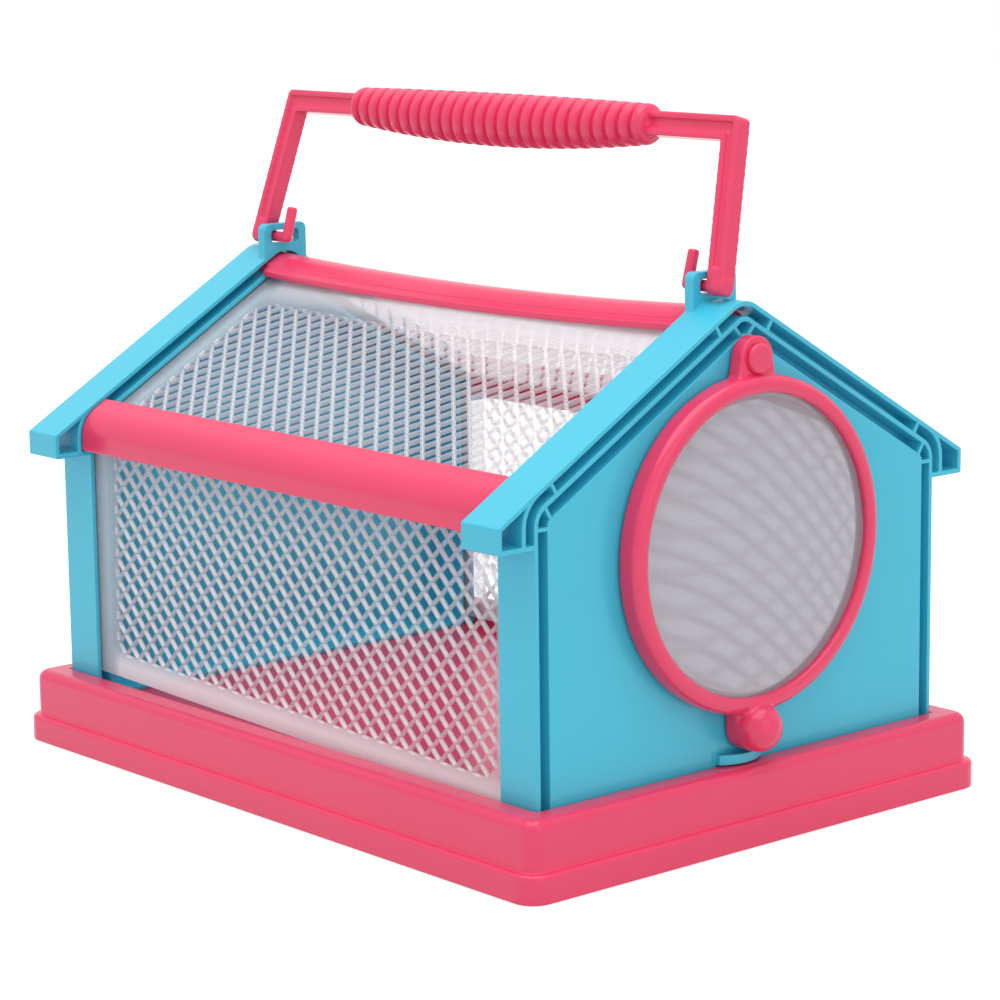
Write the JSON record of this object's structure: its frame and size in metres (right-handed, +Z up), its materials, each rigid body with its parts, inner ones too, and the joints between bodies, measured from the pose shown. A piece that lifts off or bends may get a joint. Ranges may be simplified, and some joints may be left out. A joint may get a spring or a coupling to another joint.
{
  "type": "bug viewer box",
  "caption": "House-shaped carry box for insects, with a base tray, two gabled end walls, mesh side and roof panels, a swinging magnifier door and a folding carry handle.",
  "frame": {"origin": "middle of the base tray's underside, on the floor", "axes": "+Z up; +Y along the ridge from the lens door to the plain end wall; +X to the right when looking at the lens door"},
  "size_m": [0.1394, 0.1925, 0.1583],
  "materials": {
    "pink_plastic": "glossy moulded, opaque pink",
    "blue_plastic": "glossy moulded, opaque sky blue",
    "clear_net": "translucent milky moulded mesh",
    "clear_lens": "clear polished acrylic"
  },
  "bodies": {
    "house": {"base_tray": "pink_plastic", "front_wall": "blue_plastic", "back_wall": "blue_plastic", "left_side_net": "clear_net", "right_side_net": "clear_net", "left_roof_net": "clear_net", "right_roof_net": "clear_net", "left_eave_rail": "pink_plastic", "right_eave_rail": "pink_plastic", "ridge_rail": "pink_plastic", "door_pivot_pin": "pink_plastic"},
    "door": {"lens_frame": "pink_plastic", "lens": "clear_lens"},
    "handle": {"carry_handle": "pink_plastic"}
  },
  "joints": [
    {"name": "handle_swing", "type": "hinge", "parent": "house", "child": "handle", "pos_m": [-0.0021, 0, 0.1204], "axis": [0, 1, 0], "range_deg": [-125, 82]},
    {"name": "lens_swing", "type": "hinge", "parent": "house", "child": "door", "pos_m": [0, -0.0872, 0.1059], "axis": [0, -1, 0], "range_deg": [0, 180]}
  ]
}
